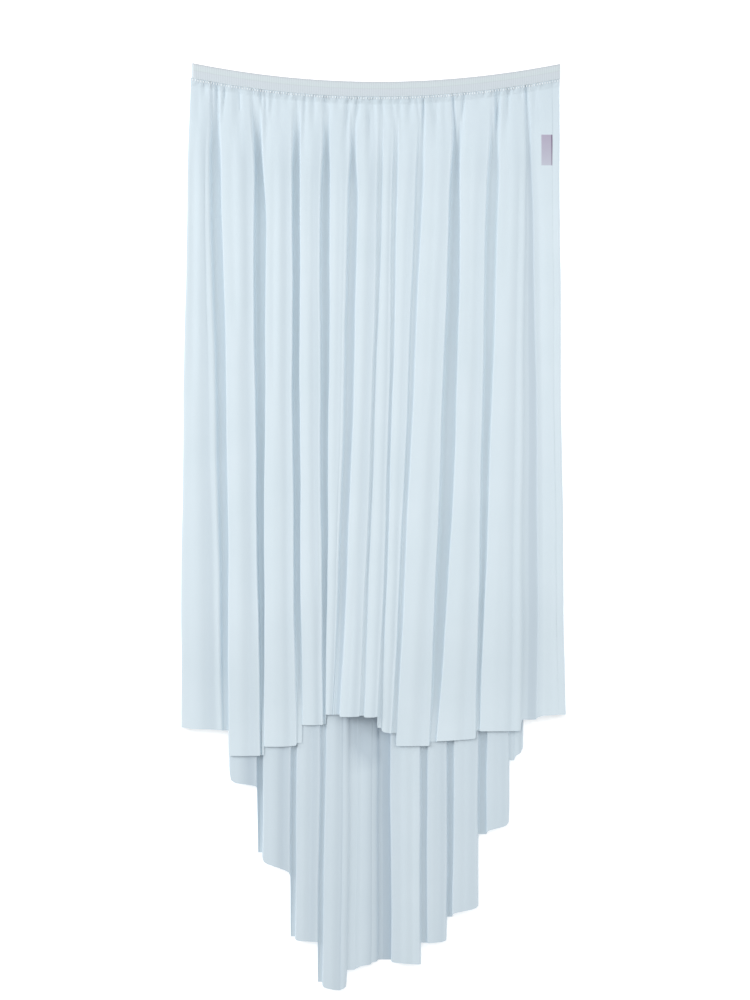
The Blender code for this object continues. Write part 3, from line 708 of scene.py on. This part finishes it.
def buildLabel():
    # a flat strip with a slight curl that grows towards its loose end
    v, u = np.meshgrid(np.linspace(0, 1, 26), np.linspace(0, 1, 12), indexing="ij")
    y = label["top"] - label["length"] * v
    edge = rightEdge(y) - layers["seamInset"] - waist["seamGap"]
    x = edge - label["width"] * (1 - u)
    depth = np.maximum(0.0, clothTop(edge) - y)
    z = crown(lastFold, depth) - layers["cadWall"] - label["under"]
    z = z - label["curl"] * np.cos(3 * np.pi * u) * v
    uv = np.stack([u * label["width"], v * label["length"]], -1)
    item = gridMesh("careLabel", np.stack([x, y, z], -1), uv)
    thicken(item, label["wall"], -1.0)
    return item


labelPiece = buildLabel()
print("label sewn in")


# Light, camera and table of the picture

studio = {
    "pixelSize": 0.81,          # millimetres to one pixel of the photograph's frame
    "centre": (1.4, 21.5), "height": 1000, "lens": 120.0, "sensor": 36.0, "focusHeight": 10.0,
    "tableHalf": 3.0, "tableLevel": -0.0004,        # metres
    "table": 0.34, "world": 0.525,
}
# name, place, width and height in metres, and watts
softboxes = (
    ("softboxLeft", (-1.5, 0.5, 0.85), (0.7, 1.5), 18.0),
    ("softboxRight", (1.5, 0.5, 0.85), (0.7, 1.5), 9.5),
    ("softboxAbove", (0.0, 0.2, 2.0), (1.6, 1.6), 6.5),
)


# Materials

def addNode(tree, kind, settings=(), links=()):
    # settings: name or input number to value; links: input name or number to a socket
    node = tree.nodes.new(kind)
    for key, value in dict(settings).items():
        if isinstance(key, str) and hasattr(node, key):
            setattr(node, key, value)
        else:
            node.inputs[key].default_value = value
    for key, socket in dict(links).items():
        tree.links.new(socket, node.inputs[key])
    return node


def newMaterial(name, roughness, sheen=0.0, sheenTint="ffffff"):
    # the settings that all of the skirt's materials share
    material = bpy.data.materials.new(name)
    material.use_nodes = True
    tree = material.node_tree
    shader = tree.nodes["Principled BSDF"]
    shader.inputs["Roughness"].default_value = roughness
    shader.inputs["Sheen Weight"].default_value = sheen
    shader.inputs["Sheen Roughness"].default_value = 0.5
    shader.inputs["Sheen Tint"].default_value = linearColour(sheenTint)
    shader.inputs["IOR"].default_value = 1.5
    return material, tree, shader


def meshMaterial(name, withLabel):
    # nylon stretch mesh, warp knitted and matt: fine net, soft sheen at grazing light
    material, tree, shader = newMaterial(name, meshLook["roughness"], meshLook["sheen"], "eef4fa")
    place = addNode(tree, "ShaderNodeTexCoord")
    mottle = addNode(tree, "ShaderNodeTexNoise", {"Scale": meshLook["mottle"], "Detail": 3.0},
                     {"Vector": place.outputs["Object"]})
    net = addNode(tree, "ShaderNodeMix",
                  {"data_type": "RGBA", 6: linearColour(meshLook["colour"]),
                   7: linearColour(meshLook["cooler"])}, {0: mottle.outputs["Fac"]})
    # painted shade: the tone attribute mixes in the darker deep colour
    deep = addNode(tree, "ShaderNodeAttribute", {"attribute_name": "tone"})
    shaded = addNode(tree, "ShaderNodeMix", {"data_type": "RGBA", 7: linearColour(meshLook["deep"])},
                     {0: deep.outputs["Fac"], 6: net.outputs[2]})
    colour = shaded.outputs[2]
    if withLabel:
        colour = labelShowThrough(tree, place, colour)
    tree.links.new(colour, shader.inputs["Base Color"])
    # a wave of Scale 0.314 repeats once in each unit, here one pitch of the net
    pitch = addNode(tree, "ShaderNodeMapping", {"Scale": (1000 / meshLook["netPitch"],) * 3},
                    {"Vector": place.outputs["UV"]})
    courses, wales = [
        addNode(tree, "ShaderNodeTexWave", {"Scale": 0.314, "Distortion": 0.3, "bands_direction": direction},
                {"Vector": pitch.outputs[0]}) for direction in ("X", "Y")]
    weave = addNode(tree, "ShaderNodeMath", {"operation": "MULTIPLY"},
                    {0: courses.outputs["Fac"], 1: wales.outputs["Fac"]})
    bump = addNode(tree, "ShaderNodeBump", {"Strength": 0.35, "Distance": meshLook["netDepth"]},
                   {"Height": weave.outputs[0]})
    puckered = addPuckers(tree, place, bump)
    tree.links.new(puckered.outputs[0], shader.inputs["Normal"])
    return material


def addPuckers(tree, place, below):
    # small upright puckers in the stitched row, as deep as the held part of the cloth
    split = addNode(tree, "ShaderNodeSeparateXYZ", {}, {0: place.outputs["UV"]})
    reach = gathers["heldDepth"] * 1.4 * toMetres
    row = addNode(tree, "ShaderNodeMapRange",
                  {"From Min": 0.0, "From Max": reach, "To Min": 1.0, "To Max": 0.0},
                  {"Value": split.outputs[1]})
    stretched = addNode(tree, "ShaderNodeMapping", {"Scale": (1000 / meshLook["puckerPitch"], 90.0, 1.0)},
                        {"Vector": place.outputs["UV"]})
    noise = addNode(tree, "ShaderNodeTexNoise", {"Scale": 1.0, "Detail": 1.0},
                    {"Vector": stretched.outputs[0]})
    tall = addNode(tree, "ShaderNodeMath", {"operation": "MULTIPLY"},
                   {0: noise.outputs["Fac"], 1: row.outputs[0]})
    return addNode(tree, "ShaderNodeBump",
                   {"Strength": 1.0, "Distance": meshLook["puckerDepth"] * toMetres},
                   {"Height": tall.outputs[0], "Normal": below.outputs[0]})


softRim = 0.3


def boxMask(tree, place, middle, half):
    # 1 inside a box in the piece's own place, falling to 0 over a soft rim
    split = addNode(tree, "ShaderNodeSeparateXYZ", {}, {0: place.outputs["Object"]})
    masks = []
    for i in range(2):
        away = addNode(tree, "ShaderNodeMath", {"operation": "SUBTRACT", 1: middle[i] * toMetres},
                       {0: split.outputs[i]})
        away = addNode(tree, "ShaderNodeMath", {"operation": "ABSOLUTE"}, {0: away.outputs[0]})
        masks.append(addNode(tree, "ShaderNodeMapRange",
                             {"From Min": (half[i] - softRim) * toMetres, "To Min": 1.0,
                              "From Max": (half[i] + softRim) * toMetres, "To Max": 0.0},
                             {"Value": away.outputs[0]}))
    return addNode(tree, "ShaderNodeMath", {"operation": "MULTIPLY"},
                   {0: masks[0].outputs[0], 1: masks[1].outputs[0]})


def labelShowThrough(tree, place, colour):
    # the ribbon's mauve seen through the net, darker in a thin strip along its seam
    # side, and fading towards its loose end
    edge = float(rightEdge(np.array(305.0)) - layers["seamInset"])
    middle = label["top"] - label["length"] / 2
    half = label["length"] / 2
    broad, thin = label["width"] / 2, meshLook["labelEdgeWidth"] / 2
    for tint, wide, strength in ((meshLook["labelTint"], broad, 1.0), (meshLook["labelEdge"], thin, 1.25)):
        inside = boxMask(tree, place, (edge - wide, middle), (wide, half))
        split = addNode(tree, "ShaderNodeSeparateXYZ", {}, {0: place.outputs["Object"]})
        seen = meshLook["labelSeen"] * strength
        fade = addNode(tree, "ShaderNodeMapRange",
                       {"From Min": (middle - half) * toMetres, "From Max": (middle + half) * toMetres,
                        "To Min": seen * 0.7, "To Max": seen * 1.15},
                       {"Value": split.outputs[1]})
        amount = addNode(tree, "ShaderNodeMath", {"operation": "MULTIPLY"},
                         {0: inside.outputs[0], 1: fade.outputs[0]})
        mix = addNode(tree, "ShaderNodeMix", {"data_type": "RGBA", 7: linearColour(tint)},
                      {0: amount.outputs[0], 6: colour})
        colour = mix.outputs[2]
    return colour


def elasticMaterial():
    # woven polyester elastic: silvery, finely ribbed, two lanes with a line between them
    material, tree, shader = newMaterial("wovenElastic", 0.55, 0.15)
    place = addNode(tree, "ShaderNodeTexCoord")
    split = addNode(tree, "ShaderNodeSeparateXYZ", {}, {0: place.outputs["UV"]})
    down = addNode(tree, "ShaderNodeMath", {"operation": "MULTIPLY", 1: 1000 / waist["elasticHeight"]},
                   {0: split.outputs[1]})
    lanes = addNode(tree, "ShaderNodeValToRGB", {}, {0: down.outputs[0]})
    stops = lanes.color_ramp.elements
    shades = ((0.0, "bcc0c8"), (0.08, "cdd6db"), (0.2, "d0dadf"), (0.42, "cfdbde"), (0.47, "c9d3d8"),
              (0.52, "ced7de"), (0.93, "cdd7de"), (1.0, "d8e2e7"))
    for at, shade in shades[1:-1]:
        stops.new(at)
    for stop, (at, shade) in zip(stops, shades):
        stop.position = at
        stop.color = linearColour(shade)
    # darker between the ribs, where the cosine of the run over one pitch is high
    ribs = addNode(tree, "ShaderNodeMath",
                   {"operation": "MULTIPLY", 1: 2000 * np.pi / elastic["ribPitch"]}, {0: split.outputs[0]})
    wave = addNode(tree, "ShaderNodeMath", {"operation": "COSINE"}, {0: ribs.outputs[0]})
    dark = addNode(tree, "ShaderNodeMapRange",
                   {"From Min": 0.2, "From Max": 1.0, "To Min": 0.0, "To Max": 0.16},
                   {"Value": wave.outputs[0]})
    tone = addNode(tree, "ShaderNodeMix", {"data_type": "RGBA", 7: linearColour("8d99a1")},
                   {0: dark.outputs[0], 6: lanes.outputs[0]})
    tree.links.new(tone.outputs[2], shader.inputs["Base Color"])
    return material


def threadMaterial():
    # white polyester thread, softly lustrous
    material, _, shader = newMaterial("whiteThread", 0.5, 0.1)
    shader.inputs["Base Color"].default_value = linearColour("f2f7fa")
    return material


def ribbonMaterial():
    # woven satin ribbon, bare: fine cross threads with a low gloss
    material, tree, shader = newMaterial("satinRibbon", 0.45, 0.1)
    place = addNode(tree, "ShaderNodeTexCoord")
    scaled = addNode(tree, "ShaderNodeMapping", {"Scale": (1000.0, 1000.0, 1000.0)},
                     {"Vector": place.outputs["UV"]})
    threads = addNode(tree, "ShaderNodeTexWave", {"Scale": 0.5, "bands_direction": "Y"},
                      {"Vector": scaled.outputs[0]})
    tone = addNode(tree, "ShaderNodeMix",
                   {"data_type": "RGBA", 6: linearColour("8f7a96"), 7: linearColour("9c88a2")},
                   {0: threads.outputs["Fac"]})
    tree.links.new(tone.outputs[2], shader.inputs["Base Color"])
    return material


def floorMaterial():
    # matt white light table, lit from below so that hardly a shadow shows
    material, _, shader = newMaterial("lightTable", 0.9)
    shader.inputs["Base Color"].default_value = linearColour("f8f8f8")
    shader.inputs["Emission Color"].default_value = (1.0, 1.0, 1.0, 1.0)
    shader.inputs["Emission Strength"].default_value = studio["table"]
    shader.inputs["Specular IOR Level"].default_value = 0.1
    return material


frontPiece.data.materials.append(meshMaterial("stretchMesh", True))
backPiece.data.materials.append(meshMaterial("stretchMeshBack", False))
elasticPiece.data.materials.append(elasticMaterial())
stitchPiece.data.materials.append(threadMaterial())
labelPiece.data.materials.append(ribbonMaterial())
print("materials set")


# What each piece is in the frame

standsFor = (
    (frontPiece, "front_panel", "skirt_mesh"),
    (backPiece, "back_panel", "skirt_mesh"),
    (elasticPiece, "waistband", "ribbed_elastic"),
    (labelPiece, "label", "label_ribbon"),
)
for item, node, slotName in standsFor:
    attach(item, "root")
    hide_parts(node)
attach(stitchPiece, "root")


# Floor, light and camera

def addFloor():
    # one square face, just under the cloth
    mesh = bpy.data.meshes.new("floor")
    half, level = studio["tableHalf"], studio["tableLevel"]
    corners = [(x * half, y * half, level) for x, y in ((-1, -1), (1, -1), (1, 1), (-1, 1))]
    mesh.from_pydata(corners, [], [(0, 1, 2, 3)])
    item = bpy.data.objects.new("floor", mesh)
    item.data.materials.append(floorMaterial())
    bpy.context.scene.collection.objects.link(item)


def addSoftbox(name, place, size, power, target=(0.0, 0.0, 0.0)):
    # a rectangular light that faces its target
    data = bpy.data.lights.new(name, "AREA")
    data.shape = "RECTANGLE"
    data.size, data.size_y = size
    data.energy = power
    item = bpy.data.objects.new(name, data)
    item.location = place
    item.rotation_euler = (Vector(target) - Vector(place)).to_track_quat("-Z", "Y").to_euler()
    bpy.context.scene.collection.objects.link(item)


def addCamera():
    # straight above the skirt, as far off as its lens needs for the picture's height
    data = bpy.data.cameras.new("camera")
    data.sensor_fit = "VERTICAL"
    data.sensor_height = studio["sensor"]
    data.lens = studio["lens"]
    seen = studio["pixelSize"] * studio["height"] * toMetres
    distance = seen * studio["lens"] / studio["sensor"]
    data.clip_end = 20.0
    item = bpy.data.objects.new("camera", data)
    item.location = (studio["centre"][0] * toMetres, studio["centre"][1] * toMetres,
                     distance + studio["focusHeight"] * toMetres)
    bpy.context.scene.collection.objects.link(item)
    bpy.context.scene.camera = item


addFloor()
for box in softboxes:
    addSoftbox(*box)
world = bpy.data.worlds.new("studio")
world.use_nodes = True
world.node_tree.nodes["Background"].inputs["Color"].default_value = (1.0, 1.0, 1.0, 1.0)
world.node_tree.nodes["Background"].inputs["Strength"].default_value = studio["world"]
bpy.context.scene.world = world
bpy.context.scene.view_settings.view_transform = "Standard"
addCamera()
print("studio lit")
